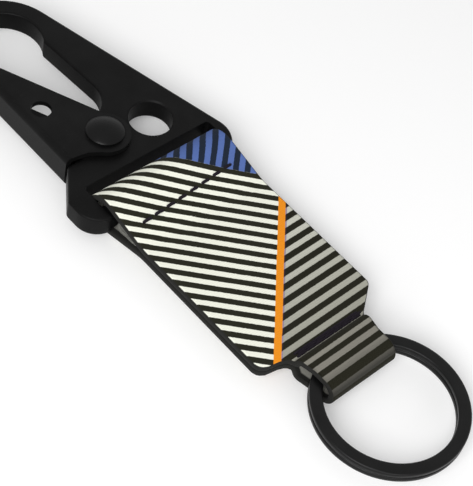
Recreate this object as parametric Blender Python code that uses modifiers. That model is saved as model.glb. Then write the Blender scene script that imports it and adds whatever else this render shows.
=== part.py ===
# Key clip: a black hook with a sprung gate, a doubled webbing strap and a split ring
# Sizes are in metres. X runs across the strap, Y from the ring to the hook's nose, Z out of the striped face.
import math

import bmesh
import bpy
from mathutils import Matrix, Vector

# Clearances
FIT_GAP = 0.0003
SHEET_GAP = 0.00035
STOP_GAP = 0.0004
RING_CLEAR = 0.00027
FOLD_EASE = 0.00002
THREAD_GAP = 0.00025
CUT_OVER = 0.002
MERGE = 0.000002

# Hook plate
PLATE_THICKNESS = 0.0047
PLATE_EDGE = 0.0005
PIVOT_X = -0.0044
PIVOT_Y = 0.0121
NOSE_BEARING_DEG = 91.08
NOSE_OVERLAP = 0.0027
NOSE_INNER_RADIUS = 0.0081
NOSE_OUTER_RADIUS = 0.01215
ARM_INNER_X = 0.00175
MOUTH_X = -0.0040
MOUTH_RADIUS = 0.0067
LUG_RADIUS = 0.0074
LUG_TOP_Y = 0.0175
SHOULDER_Y = 0.0102
SHOULDER_X = -0.0150
SHOULDER_ROUND = 0.0012
SIDE_WALL = 0.00455
BASE_WALL = 0.00406
SIDE_TOP_Y = 0.0031
BASE_Y = -0.00455
BASE_LEFT_RADIUS = 0.0049
BASE_RIGHT_RADIUS = 0.0058
HOLE_X = 0.0067
HOLE_Y = 0.0111
HOLE_RADIUS = 0.00455
HOLE_CHAMFER = 0.0003
SLOT_TOP_Y = 0.00415
SLOT_ROUND = 0.0008
BAR_Y = -0.00265
BAR_DEPTH = 0.0035
BAR_HEIGHT = 0.0040
BAR_ROUND = 0.0008

# Gate
GATE_SHEET = 0.0011
GATE_SIDE_X = -0.0151
GATE_REAR_Y = 0.0106
GATE_REACH = 0.0342
GATE_REAR_X = -0.0105
GATE_REAR_LOW_Y = 0.0098
GATE_EDGE_LEAN_DEG = 25.1
GATE_EDGE_REACH = 0.0045
GATE_BEND = 0.0014
GATE_INNER_BEND = 0.0004
GATE_HOLE_X = -0.0111
GATE_HOLE_Y = 0.0238
GATE_HOLE_RADIUS = 0.0021
GATE_SETBACK = 0.0010
EAR_RADIUS = 0.0052
EAR_END_DEG = -135.0

# Rivet
SHANK_RADIUS = 0.0020
HEAD_RADIUS = 0.00385
HEAD_RIM = 0.0006
HEAD_DOME = 0.0009
TAIL_RADIUS = 0.0033
TAIL_HEIGHT = 0.0008
TAIL_EDGE = 0.0003

# Gate spring
SPRING_WIRE = 0.0007
SPRING_RADIUS = 0.0030
SPRING_PITCH = 0.00115
SPRING_TURNS = 1
SPRING_GATE_LEG = 0.0145
SPRING_BODY_LEG = 0.0047
SPRING_GATE_LEAN_DEG = 25.0
POCKET_HEIGHT = 0.0033
POCKET_RADIUS = 0.0042
POCKET_TOP_Y = 0.0190

# Strap
STRAP_WIDTH = 0.0311
WEBBING = 0.00135
LAYER_GAP = 0.0002
FLARE_DEG = 14.0
FLARE_BLEND = 0.012
STRAP_SHOULDER_Y = -0.04695
STRAP_CORNER = 0.0023
STRAP_NECK_ROUND = 0.0025
SLANT_TOP_Y = -0.0438
SLANT_LOW_Y = -0.0484
SLANT_CORNER = 0.0007
SLANT_NECK_ROUND = 0.0015
TONGUE_WIDTH = 0.0182
TONGUE_END_WIDTH = 0.0167
TONGUE_TAPER_Y = -0.0530
STRAP_SPLIT_Y = -0.0479
TAIL_END_HALF = 0.00027
TAIL_INSET = 0.0006

# Ring loop
LOOP_BEND_Y = -0.0505
LOOP_PART_Y = -0.04895
LOOP_RISE_DEG = 60.0
LOOP_PART_ROUND = 0.0009
LOOP_CREST_ROUND = 0.0012

# Sewn seams
THREAD = 0.0004
THREAD_WAVE = 0.00008
HOOK_SEAM_Y = -0.0080
HOOK_SEAM_LENGTH = 0.0218
HOOK_SEAM_STITCHES = 7
RING_SEAM_Y = -0.04875
RING_SEAM_LENGTH = 0.0172
RING_SEAM_STITCHES = 6

# Split ring
RING_OUTER_RADIUS = 0.0150
RING_WALL = 0.0025
COIL_THICKNESS = 0.00112
COIL_GAP = 0.00042
COIL_EDGE = 0.00045
RING_X = -0.00025
RING_TOP_ROOM = 0.00135
RING_START_DEG = 200.0
RING_SWEEP_DEG = 690.0
RING_STEP_START_DEG = 330.0
RING_STEP_SPAN_DEG = 30.0

# Smoothness counts
ARC_STEP_DEG = 7.5
CORNER_STEP_DEG = 30.0
ROUND_STEPS = 48
RING_POINTS = 116
SPRING_POINTS_PER_TURN = 24
STITCH_POINTS = 8

PART_NAME = "key_clip"


def clear_scene():
    for item in list(bpy.data.objects):
        bpy.data.objects.remove(item, do_unlink=True)


def new_collection(name):
    group = bpy.data.collections.get(name) or bpy.data.collections.new(name)
    if group.name not in bpy.context.scene.collection.children:
        bpy.context.scene.collection.children.link(group)
    return group


def new_material(name, colour, roughness, metallic):
    material = bpy.data.materials.new(name)
    material.use_nodes = True
    shader = material.node_tree.nodes["Principled BSDF"]
    shader.inputs["Base Color"].default_value = (*colour, 1)
    shader.inputs["Roughness"].default_value = roughness
    shader.inputs["Metallic"].default_value = metallic
    material.diffuse_color = (*colour, 1)
    return material


clear_scene()
parts = new_collection(PART_NAME)
cutters = new_collection(PART_NAME + "_cutters")


# Flat outline helpers
def arc(centre, radius, first_deg, last_deg, step_deg=ARC_STEP_DEG):
    steps = max(2, math.ceil(abs(last_deg - first_deg) / step_deg))
    turns = [math.radians(first_deg + (last_deg - first_deg) * step / steps) for step in range(steps + 1)]
    return [centre + radius * Vector((math.cos(turn), math.sin(turn))) for turn in turns]


def bearing(centre, point):
    offset = point - centre
    return math.degrees(math.atan2(offset.y, offset.x))


def fillet(before, corner, after, radius, step_deg=ARC_STEP_DEG):
    to_before = (before - corner).normalized()
    to_after = (after - corner).normalized()
    half = to_before.angle(to_after) / 2
    centre = corner + (to_before + to_after).normalized() * (radius / math.sin(half))
    first = bearing(centre, corner + to_before * (radius / math.tan(half)))
    last = bearing(centre, corner + to_after * (radius / math.tan(half)))
    sweep = (last - first + 180) % 360 - 180
    return arc(centre, radius, first, first + sweep, step_deg)


def circle_at_y(centre, radius, y, side):
    return Vector((centre.x + side * math.sqrt(radius ** 2 - (y - centre.y) ** 2), y))


def circle_at_x(centre, radius, x, side):
    return Vector((x, centre.y + side * math.sqrt(radius ** 2 - (x - centre.x) ** 2)))


def circles_meet(first, first_radius, second, second_radius):
    apart = second - first
    along = (first_radius ** 2 - second_radius ** 2 + apart.length_squared) / (2 * apart.length)
    aside = math.sqrt(first_radius ** 2 - along ** 2)
    forward = apart.normalized()
    return first + along * forward + aside * Vector((-forward.y, forward.x))


def rectangle(low_x, high_x, low_y, high_y):
    return [Vector((low_x, low_y)), Vector((high_x, low_y)), Vector((high_x, high_y)), Vector((low_x, high_y))]


def rounded_loop(corners, radius):
    points = []
    for index, corner in enumerate(corners):
        points += fillet(corners[index - 1], corner, corners[(index + 1) % len(corners)], radius, CORNER_STEP_DEG)
    return points


# Solid helpers
def to_mesh(item, group):
    bpy.context.view_layer.update()
    evaluated = item.evaluated_get(bpy.context.evaluated_depsgraph_get())
    mesh = bpy.data.meshes.new_from_object(evaluated)
    mesh.transform(item.matrix_world)
    name = item.name
    bpy.data.objects.remove(item, do_unlink=True)
    work = bmesh.new()
    work.from_mesh(mesh)
    bmesh.ops.remove_doubles(work, verts=work.verts, dist=MERGE)
    bmesh.ops.dissolve_limit(work, angle_limit=math.radians(0.5), verts=work.verts, edges=work.edges)
    bmesh.ops.recalc_face_normals(work, faces=work.faces)
    work.to_mesh(mesh)
    work.free()
    solid = bpy.data.objects.new(name, mesh)
    mesh.name = name
    group.objects.link(solid)
    return solid


def draw(name, points, closed, flat):
    curve = bpy.data.curves.new(name, "CURVE")
    curve.dimensions = "2D" if flat else "3D"
    spline = curve.splines.new("POLY")
    spline.points.add(len(points) - 1)
    for place, point in zip(spline.points, points):
        place.co = (*point.to_3d(), 1)
    spline.use_cyclic_u = closed
    item = bpy.data.objects.new(name, curve)
    cutters.objects.link(item)
    return item


def outline_solid(name, points, half, group, placing=Matrix.Identity(4)):
    item = draw(name, points, True, True)
    item.data.fill_mode = "BOTH"
    item.data.extrude = half
    item.matrix_world = placing
    return to_mesh(item, group)


def tube(name, points, diameter, group, resolution):
    item = draw(name, points, False, False)
    item.data.bevel_depth = diameter / 2
    item.data.bevel_resolution = resolution
    item.data.use_fill_caps = True
    return to_mesh(item, group)


def turned(name, profile, group, place):
    mesh = bpy.data.meshes.new(name)
    work = bmesh.new()
    rims = [work.verts.new((radius, 0, height)) for radius, height in profile]
    for first, second in zip(rims, rims[1:]):
        work.edges.new((first, second))
    work.to_mesh(mesh)
    work.free()
    item = bpy.data.objects.new(name, mesh)
    group.objects.link(item)
    item.location = place
    spin = item.modifiers.new("turned", "SCREW")
    spin.steps = ROUND_STEPS
    spin.render_steps = ROUND_STEPS
    spin.use_merge_vertices = True
    spin.merge_threshold = MERGE
    return item


def block(name, low, high, group):
    mesh = bpy.data.meshes.new(name)
    work = bmesh.new()
    bmesh.ops.create_cube(work, size=1)
    size = Vector(high) - Vector(low)
    bmesh.ops.scale(work, vec=size, verts=work.verts)
    bmesh.ops.translate(work, vec=Vector(low) + size / 2, verts=work.verts)
    work.to_mesh(mesh)
    work.free()
    item = bpy.data.objects.new(name, mesh)
    group.objects.link(item)
    return item


def round_cutter(name, radius, low_z, high_z, x, y):
    return turned(name, [(0, high_z), (radius, high_z), (radius, low_z), (0, low_z)], cutters, (x, y, 0))


def bevel(item, width, segments):
    edge = item.modifiers.new("edges", "BEVEL")
    edge.width = width
    edge.segments = segments
    edge.limit_method = "ANGLE"
    edge.angle_limit = math.radians(40)


def combine(item, other, operation):
    step = item.modifiers.new(other.name, "BOOLEAN")
    step.operation = operation
    step.solver = "EXACT"
    step.object = other


def cut(item, *others):
    for other in others:
        combine(item, other, "DIFFERENCE")


def dress(item, material, origin, smooth_deg=30):
    item.data.materials.clear()
    item.data.materials.append(material)
    item.data.transform(Matrix.Translation(item.location - origin))
    item.location = origin
    for face in item.data.polygons:
        face.use_smooth = True
    item.data.set_sharp_from_angle(angle=math.radians(smooth_deg))
    return item


def least_gap(points, diameter, skip):
    nearest = math.inf
    for index, point in enumerate(points):
        for other in points[index + skip:]:
            nearest = min(nearest, (point - other).length)
    return nearest - diameter


# Standing directions for outlines drawn in the YZ and XZ planes
ACROSS = Matrix(((0, 0, 1, 0), (1, 0, 0, 0), (0, 1, 0, 0), (0, 0, 0, 1)))
LENGTHWISE = Matrix(((1, 0, 0, 0), (0, 0, -1, 0), (0, 1, 0, 0), (0, 0, 0, 1)))

# Colours
satin_black = new_material("hook_black", (0.012, 0.012, 0.012), 0.45, 0.3)
gate_black = new_material("gate_black", (0.018, 0.018, 0.018), 0.45, 0.3)
rivet_black = new_material("rivet_black", (0.010, 0.010, 0.010), 0.32, 0.4)
spring_steel = new_material("spring_steel", (0.30, 0.30, 0.30), 0.35, 1.0)
strap_cloth = new_material("strap_cloth", (0.52, 0.51, 0.47), 0.85, 0.0)
loop_cloth = new_material("loop_cloth", (0.24, 0.24, 0.22), 0.85, 0.0)
tail_cloth = new_material("tail_cloth", (0.02, 0.02, 0.02), 0.9, 0.0)
dark_thread = new_material("dark_thread", (0.015, 0.015, 0.018), 0.8, 0.0)
ring_black = new_material("ring_black", (0.014, 0.014, 0.014), 0.4, 0.5)

# Shared places
pivot = Vector((PIVOT_X, PIVOT_Y))
nose_distance = GATE_REACH + STOP_GAP - NOSE_OVERLAP
nose = pivot + nose_distance * Vector((math.cos(math.radians(NOSE_BEARING_DEG)), math.sin(math.radians(NOSE_BEARING_DEG))))
plate_half = PLATE_THICKNESS / 2
gate_inner_half = plate_half + SHEET_GAP
gate_half = gate_inner_half + GATE_SHEET
bore_radius = SHANK_RADIUS + FIT_GAP
wrap_inner = BAR_ROUND + math.hypot(BAR_DEPTH / 2 - BAR_ROUND, BAR_HEIGHT / 2 - BAR_ROUND) + FIT_GAP
wrap_radius = wrap_inner + WEBBING / 2
slot_left_x = -STRAP_WIDTH / 2 - FIT_GAP
slot_right_x = STRAP_WIDTH / 2 + FIT_GAP
ring_inner_radius = RING_OUTER_RADIUS - RING_WALL
ring_y = LOOP_PART_Y - RING_TOP_ROOM - RING_OUTER_RADIUS
coil_stack = 2 * COIL_THICKNESS + COIL_GAP
loop_inside = coil_stack + 2 * RING_CLEAR
wire_corner_z = coil_stack / 2 - COIL_EDGE
fold_seat = COIL_EDGE + math.sqrt((wire_corner_z + FOLD_EASE) ** 2 - wire_corner_z ** 2)
loop_half_width = TONGUE_END_WIDTH / 2 + abs(RING_X)
loop_fold_y = ring_y + math.sqrt(ring_inner_radius ** 2 - loop_half_width ** 2) + fold_seat
gate_edge_normal = Vector((math.cos(math.radians(GATE_EDGE_LEAN_DEG)), math.sin(math.radians(GATE_EDGE_LEAN_DEG))))
gate_edge_along = Vector((-gate_edge_normal.y, gate_edge_normal.x))
gate_edge_foot = pivot + GATE_EDGE_REACH * gate_edge_normal


# Hook plate
def plate_outline():
    base_right = Vector((slot_right_x + BASE_WALL, BASE_Y))
    base_left = Vector((slot_left_x - SIDE_WALL, BASE_Y))
    side_top = Vector((slot_left_x - SIDE_WALL, SIDE_TOP_Y))
    reach = (base_right - nose).length
    spine_lean_deg = bearing(nose, base_right) + math.degrees(math.acos(NOSE_OUTER_RADIUS / reach))
    spine_lean = math.radians(spine_lean_deg)
    spine_top = nose + NOSE_OUTER_RADIUS * Vector((math.cos(spine_lean), math.sin(spine_lean)))
    shoulder = Vector((SHOULDER_X, SHOULDER_Y))
    lug_start = circle_at_y(pivot, LUG_RADIUS, SHOULDER_Y, -1)
    lug_end = circle_at_y(pivot, LUG_RADIUS, LUG_TOP_Y, -1)
    mouth = Vector((MOUTH_X, LUG_TOP_Y + MOUTH_RADIUS))
    nose_end_radius = GATE_REACH + STOP_GAP
    outer_end = circles_meet(pivot, nose_end_radius, nose, NOSE_OUTER_RADIUS)
    inner_end = circles_meet(pivot, nose_end_radius, nose, NOSE_INNER_RADIUS)
    arm_corner = circle_at_x(nose, NOSE_INNER_RADIUS, ARM_INNER_X, -1)
    points = arc(pivot, nose_end_radius, bearing(pivot, inner_end), bearing(pivot, outer_end))
    points += arc(nose, NOSE_OUTER_RADIUS, bearing(nose, outer_end), spine_lean_deg)[1:]
    points += fillet(spine_top, base_right, base_left, BASE_RIGHT_RADIUS)
    points += fillet(base_right, base_left, side_top, BASE_LEFT_RADIUS)
    points += fillet(base_left, side_top, shoulder, SHOULDER_ROUND)
    points += fillet(side_top, shoulder, lug_start, SHOULDER_ROUND)
    points += arc(pivot, LUG_RADIUS, bearing(pivot, lug_start) % 360, bearing(pivot, lug_end))
    points += arc(mouth, MOUTH_RADIUS, -90, 0)
    points += arc(nose, NOSE_INNER_RADIUS, bearing(nose, arm_corner), bearing(nose, inner_end))[:-1]
    return points


hook_body = outline_solid("hook_body", plate_outline(), plate_half, parts)
bevel(hook_body, PLATE_EDGE, 2)
bar = block(
    "bar_shape",
    (slot_left_x - CUT_OVER, BAR_Y - BAR_DEPTH / 2, -BAR_HEIGHT / 2),
    (slot_right_x + CUT_OVER, BAR_Y + BAR_DEPTH / 2, BAR_HEIGHT / 2),
    cutters,
)
bevel(bar, BAR_ROUND, 4)
slot_corners = rectangle(slot_left_x, slot_right_x, BASE_Y - CUT_OVER, SLOT_TOP_Y)
slot = outline_solid("slot_cutter", rounded_loop(slot_corners, SLOT_ROUND), plate_half + CUT_OVER, cutters)
cut(slot, bar)
flare = HOLE_RADIUS + HOLE_CHAMFER
hole = turned(
    "hole_cutter",
    [
        (0, plate_half + CUT_OVER),
        (flare + CUT_OVER, plate_half + CUT_OVER),
        (flare, plate_half),
        (HOLE_RADIUS, plate_half - HOLE_CHAMFER),
        (HOLE_RADIUS, HOLE_CHAMFER - plate_half),
        (flare, -plate_half),
        (flare + CUT_OVER, -plate_half - CUT_OVER),
        (0, -plate_half - CUT_OVER),
    ],
    cutters,
    (HOLE_X, HOLE_Y, 0),
)
pocket_round = round_cutter("pocket_round_cutter", POCKET_RADIUS, -POCKET_HEIGHT / 2, POCKET_HEIGHT / 2, PIVOT_X, PIVOT_Y)
pocket_wall_x = PIVOT_X + SPRING_RADIUS + SPRING_WIRE / 2 + FIT_GAP
pocket_open = block(
    "pocket_open_cutter",
    (PIVOT_X - LUG_RADIUS - CUT_OVER, PIVOT_Y, -POCKET_HEIGHT / 2),
    (pocket_wall_x, POCKET_TOP_Y, POCKET_HEIGHT / 2),
    cutters,
)
bore = round_cutter("bore_cutter", bore_radius, -gate_half - CUT_OVER, gate_half + CUT_OVER, PIVOT_X, PIVOT_Y)
cut(hook_body, slot, hole, pocket_round, pocket_open, bore)
dress(hook_body, satin_black, Vector((0, 0, 0)))


# Gate, a folded sheet channel
def gate_outline():
    side_top = circle_at_x(pivot, GATE_REACH, GATE_SIDE_X, 1)
    slide = math.sqrt(GATE_REACH ** 2 - GATE_EDGE_REACH ** 2)
    edge_top = gate_edge_foot + slide * gate_edge_along
    ear_start_deg = GATE_EDGE_LEAN_DEG + math.degrees(math.acos(GATE_EDGE_REACH / EAR_RADIUS))
    points = [Vector((GATE_SIDE_X, GATE_REAR_Y))]
    points += arc(pivot, GATE_REACH, bearing(pivot, side_top), bearing(pivot, edge_top))
    points += arc(pivot, EAR_RADIUS, ear_start_deg, EAR_END_DEG)
    points.append(Vector((GATE_REAR_X, GATE_REAR_LOW_Y)))
    return points


def gate_section():
    free_x = PIVOT_X + EAR_RADIUS + CUT_OVER
    inside_x = GATE_SIDE_X + GATE_SHEET
    corners = [
        (Vector((free_x, gate_half)), 0),
        (Vector((GATE_SIDE_X, gate_half)), GATE_BEND),
        (Vector((GATE_SIDE_X, -gate_half)), GATE_BEND),
        (Vector((free_x, -gate_half)), 0),
        (Vector((free_x, -gate_inner_half)), 0),
        (Vector((inside_x, -gate_inner_half)), GATE_INNER_BEND),
        (Vector((inside_x, gate_inner_half)), GATE_INNER_BEND),
        (Vector((free_x, gate_inner_half)), 0),
    ]
    points = []
    for index, (corner, radius) in enumerate(corners):
        after = corners[(index + 1) % len(corners)][0]
        points += fillet(corners[index - 1][0], corner, after, radius) if radius else [corner]
    return points


gate_middle_y = PIVOT_Y + (GATE_REACH - EAR_RADIUS) / 2
gate_half_length = (GATE_REACH + EAR_RADIUS) / 2 + CUT_OVER
gate_place = Matrix.Translation((0, gate_middle_y, 0)) @ LENGTHWISE
gate = outline_solid("gate", gate_section(), gate_half_length, parts, gate_place)
gate_plan = outline_solid("gate_plan_cutter", gate_outline(), gate_half + CUT_OVER, cutters)
combine(gate, gate_plan, "INTERSECT")
gate_hole = round_cutter("gate_hole_cutter", GATE_HOLE_RADIUS, 0, gate_half + CUT_OVER, GATE_HOLE_X, GATE_HOLE_Y)
setback_near = gate_edge_foot + EAR_RADIUS * gate_edge_along
setback_far = gate_edge_foot + GATE_REACH * gate_edge_along
setback_out = CUT_OVER * gate_edge_normal
setback_in = -GATE_SETBACK * gate_edge_normal
setback_slope = GATE_SETBACK * gate_edge_along
setback_shape = [
    setback_near + setback_out - setback_slope,
    setback_far + setback_out,
    setback_far + setback_in,
    setback_near + setback_in + setback_slope,
]
setback_place = Matrix.Translation((0, 0, -gate_half))
setback = outline_solid("setback_cutter", setback_shape, GATE_SHEET + SHEET_GAP, cutters, setback_place)
gate_bore = round_cutter("gate_bore_cutter", bore_radius, -gate_half - CUT_OVER, gate_half + CUT_OVER, PIVOT_X, PIVOT_Y)
cut(gate, gate_hole, setback, gate_bore)
dress(gate, gate_black, pivot.to_3d())

# Rivet
head_under = gate_half + FIT_GAP
dome_radius = ((HEAD_RADIUS - HEAD_RIM / 2) ** 2 + HEAD_DOME ** 2) / (2 * HEAD_DOME)
dome_centre = head_under + HEAD_RIM + HEAD_DOME - dome_radius
dome_half_deg = math.degrees(math.asin((HEAD_RADIUS - HEAD_RIM / 2) / dome_radius))
dome = arc(Vector((0, dome_centre)), dome_radius, 90, 90 - dome_half_deg)
rivet_profile = [(0, dome[0].y)] + [(point.x, point.y) for point in dome[1:]]
rivet_profile += [
    (HEAD_RADIUS, head_under + HEAD_RIM / 2),
    (HEAD_RADIUS, head_under),
    (SHANK_RADIUS, head_under),
    (SHANK_RADIUS, -head_under),
    (TAIL_RADIUS, -head_under),
    (TAIL_RADIUS, TAIL_EDGE - head_under - TAIL_HEIGHT),
    (TAIL_RADIUS - TAIL_EDGE, -head_under - TAIL_HEIGHT),
    (0, -head_under - TAIL_HEIGHT),
]
gate_rivet = turned("gate_rivet", rivet_profile, parts, pivot.to_3d())
dress(gate_rivet, rivet_black, pivot.to_3d())


# Gate spring, one wire with two legs
def spring_line():
    sweep = SPRING_TURNS * 360 + 180 - SPRING_GATE_LEAN_DEG
    rise = SPRING_PITCH * sweep / 360
    count = math.ceil(SPRING_POINTS_PER_TURN * sweep / 360)
    coil = []
    for step in range(count + 1):
        share = step / count
        turn = math.radians(-sweep * share)
        place = pivot + SPRING_RADIUS * Vector((math.cos(turn), math.sin(turn)))
        coil.append(Vector((place.x, place.y, rise * (share - 0.5))))
    end = math.radians(-sweep)
    leg_way = Vector((math.sin(end), -math.cos(end), 0))
    return [coil[0] + Vector((0, SPRING_BODY_LEG, 0))] + coil + [coil[-1] + SPRING_GATE_LEG * leg_way]


spring_points = spring_line()
gate_spring = tube("gate_spring", spring_points, SPRING_WIRE, parts, 2)
dress(gate_spring, spring_steel, pivot.to_3d(), 60)
print("gate spring least gap to itself, m:", round(least_gap(spring_points[1:-1], SPRING_WIRE, 12), 6))

# Strap layers, bent round the bar and lying together towards the ring
layer_height = (WEBBING + LAYER_GAP) / 2
bar_centre = Vector((BAR_Y, 0))
flare_way = Vector((math.cos(math.radians(FLARE_DEG)), math.sin(math.radians(FLARE_DEG))))
leave_bar = bar_centre + wrap_radius * Vector((-flare_way.y, flare_way.x))


def flare_height(y):
    return leave_bar.y - (leave_bar.x - y) * math.tan(math.radians(FLARE_DEG))


def mirrored(points):
    return [Vector((point.x, -point.y)) for point in reversed(points)]


def ribbon(name, half_line, group):
    item = draw(name, half_line + mirrored(half_line), False, False)
    item.data.extrude = STRAP_WIDTH / 2 + CUT_OVER
    item.matrix_world = ACROSS
    ribbon_item = to_mesh(item, group)
    thick = ribbon_item.modifiers.new("webbing", "SOLIDIFY")
    thick.thickness = WEBBING
    thick.offset = 0
    thick.use_even_offset = True
    return ribbon_item


def strap_outline():
    top_y = BAR_Y + wrap_radius + WEBBING
    end_y = loop_fold_y - loop_inside - WEBBING
    corners = [
        (-STRAP_WIDTH / 2, top_y, 0),
        (-STRAP_WIDTH / 2, STRAP_SHOULDER_Y, STRAP_CORNER),
        (-TONGUE_WIDTH / 2, STRAP_SHOULDER_Y, STRAP_NECK_ROUND),
        (-TONGUE_WIDTH / 2, STRAP_SHOULDER_Y - STRAP_NECK_ROUND, 0),
        (-TONGUE_END_WIDTH / 2, TONGUE_TAPER_Y, 0),
        (-TONGUE_END_WIDTH / 2, end_y, 0),
        (TONGUE_END_WIDTH / 2, end_y, 0),
        (TONGUE_END_WIDTH / 2, TONGUE_TAPER_Y, 0),
        (TONGUE_WIDTH / 2, SLANT_LOW_Y, SLANT_NECK_ROUND),
        (STRAP_WIDTH / 2, SLANT_TOP_Y, SLANT_CORNER),
        (STRAP_WIDTH / 2, top_y, 0),
    ]
    places = [Vector((x, y)) for x, y, radius in corners]
    points = []
    for index, (x, y, radius) in enumerate(corners):
        if radius:
            points += fillet(places[index - 1], places[index], places[index + 1], radius)
        else:
            points.append(places[index])
    return points


def x_tube_cutter(name, length, y, z, lean_deg):
    radius = THREAD / 2 + THREAD_GAP
    item = turned(name, [(0, length / 2), (radius, length / 2), (radius, -length / 2), (0, -length / 2)], cutters, (0, 0, 0))
    turn = Matrix.Rotation(math.radians(lean_deg + 180 / ROUND_STEPS), 4, "X") @ Matrix.Rotation(math.radians(90), 4, "Y")
    item.matrix_world = Matrix.Translation((0, y, z + math.copysign(THREAD_WAVE / 2, z))) @ turn
    return item


flare_end = Vector((leave_bar.x - (leave_bar.y - layer_height) / math.tan(math.radians(FLARE_DEG)), layer_height))
strap_free = Vector((STRAP_SPLIT_Y, layer_height))
strap_line = [strap_free]
strap_line += fillet(strap_free, flare_end, leave_bar, FLARE_BLEND)
strap_line += arc(bar_centre, wrap_radius, 90 + FLARE_DEG, 0)[:-1]
strap_line.append(bar_centre + Vector((wrap_radius, 0)))
strap = ribbon("strap", strap_line[:-1], parts)
strap_plan = outline_solid("strap_plan_cutter", strap_outline(), wrap_radius + WEBBING + CUT_OVER, cutters)
combine(strap, strap_plan, "INTERSECT")
hook_seam_z = flare_height(HOOK_SEAM_Y) + WEBBING / 2 / flare_way.x
seam_room = HOOK_SEAM_LENGTH + THREAD + 2 * THREAD_GAP
cut(
    strap,
    x_tube_cutter("hook_needle_groove", seam_room, HOOK_SEAM_Y, hook_seam_z, FLARE_DEG),
    x_tube_cutter("hook_bobbin_groove", seam_room, HOOK_SEAM_Y, -hook_seam_z, -FLARE_DEG),
)
dress(strap, strap_cloth, Vector((0, BAR_Y, 0)))


# Folded tail of the webbing, sewn in between the layers beside the bar
def tail_section():
    slope = math.tan(math.radians(FLARE_DEG))
    room = leave_bar.y - (WEBBING / 2 + FIT_GAP) / flare_way.x
    near_y = BAR_Y - wrap_inner
    fold_radius = (room - (leave_bar.x - near_y) * slope) / (1 + slope)
    far_y = leave_bar.x - (room - TAIL_END_HALF) / slope
    fold = arc(Vector((near_y - fold_radius, 0)), fold_radius, 90, -90)
    return fold + [Vector((far_y, -TAIL_END_HALF)), Vector((far_y, TAIL_END_HALF))]


strap_tail = outline_solid("strap_tail", tail_section(), STRAP_WIDTH / 2 - TAIL_INSET, parts, ACROSS)
dress(strap_tail, tail_cloth, Vector((0, BAR_Y, 0)))

# Ring loop
crest_height = (loop_inside + WEBBING) / 2
loop_start = Vector((STRAP_SPLIT_Y - FIT_GAP, layer_height))
loop_part = Vector((LOOP_PART_Y, layer_height))
rise_run = (crest_height - layer_height) / math.tan(math.radians(LOOP_RISE_DEG))
loop_crest = Vector((LOOP_PART_Y - rise_run, crest_height))
fold_centre = Vector((loop_fold_y, 0))
fold_start = Vector((loop_fold_y, crest_height))
loop_line = [loop_start]
loop_line += fillet(loop_start, loop_part, loop_crest, LOOP_PART_ROUND)
loop_line += fillet(loop_part, loop_crest, fold_start, LOOP_CREST_ROUND)
loop_line += arc(fold_centre, crest_height, 90, 180)[:-1]
ring_loop = ribbon("ring_loop", loop_line, parts)
combine(ring_loop, strap_plan, "INTERSECT")
ring_seam_z = layer_height + WEBBING / 2
ring_room = RING_SEAM_LENGTH + THREAD + 2 * THREAD_GAP
cut(
    ring_loop,
    x_tube_cutter("ring_needle_groove", ring_room, RING_SEAM_Y, ring_seam_z, 0),
    x_tube_cutter("ring_bobbin_groove", ring_room, RING_SEAM_Y, -ring_seam_z, 0),
)
dress(ring_loop, loop_cloth, Vector((0, LOOP_BEND_Y, 0)))


# Seams, each row one needle thread on the striped face and one bobbin thread behind
def stitch_row(name, length, stitches, y, z):
    count = stitches * STITCH_POINTS
    points = []
    for step in range(count + 1):
        share = step / count
        lift = THREAD_WAVE * (1 - math.cos(2 * math.pi * stitches * share)) / 2
        points.append(Vector((length * (share - 0.5), y, z + math.copysign(lift, z))))
    row = tube(name, points, THREAD, parts, 1)
    return dress(row, dark_thread, Vector((0, BAR_Y, 0)), 60)


stitch_row("seam_hook_needle", HOOK_SEAM_LENGTH, HOOK_SEAM_STITCHES, HOOK_SEAM_Y, hook_seam_z)
stitch_row("seam_hook_bobbin", HOOK_SEAM_LENGTH, HOOK_SEAM_STITCHES, HOOK_SEAM_Y, -hook_seam_z)
stitch_row("seam_ring_needle", RING_SEAM_LENGTH, RING_SEAM_STITCHES, RING_SEAM_Y, ring_seam_z)
stitch_row("seam_ring_bobbin", RING_SEAM_LENGTH, RING_SEAM_STITCHES, RING_SEAM_Y, -ring_seam_z)


# Split ring, one flat wire wound nearly twice with a step between its coils
def ring_line():
    middle = RING_OUTER_RADIUS - RING_WALL / 2
    points = []
    for step in range(RING_POINTS):
        swept = RING_SWEEP_DEG * step / (RING_POINTS - 1)
        share = min(max((swept - RING_STEP_START_DEG) / RING_STEP_SPAN_DEG, 0), 1)
        eased = share * share * (3 - 2 * share)
        turn = math.radians(RING_START_DEG + swept)
        height = (COIL_THICKNESS + COIL_GAP) * (eased - 0.5)
        points.append(Vector((RING_X + middle * math.cos(turn), ring_y + middle * math.sin(turn), height)))
    return points


ring_points = ring_line()
wire_half = RING_WALL / 2
coil_half = COIL_THICKNESS / 2
wire_shape = draw("wire_section", rounded_loop(rectangle(-wire_half, wire_half, -coil_half, coil_half), COIL_EDGE), True, True)
wire_shape.data.fill_mode = "NONE"
ring_curve = draw("split_ring", ring_points, False, False)
ring_curve.data.twist_mode = "Z_UP"
ring_curve.data.bevel_mode = "OBJECT"
ring_curve.data.bevel_object = wire_shape
ring_curve.data.use_fill_caps = True
split_ring = to_mesh(ring_curve, parts)
bpy.data.objects.remove(wire_shape, do_unlink=True)
dress(split_ring, ring_black, Vector((RING_X, ring_y, 0)), 40)
print("split ring least gap to itself, m:", round(least_gap(ring_points, COIL_THICKNESS, 40), 6))


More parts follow.
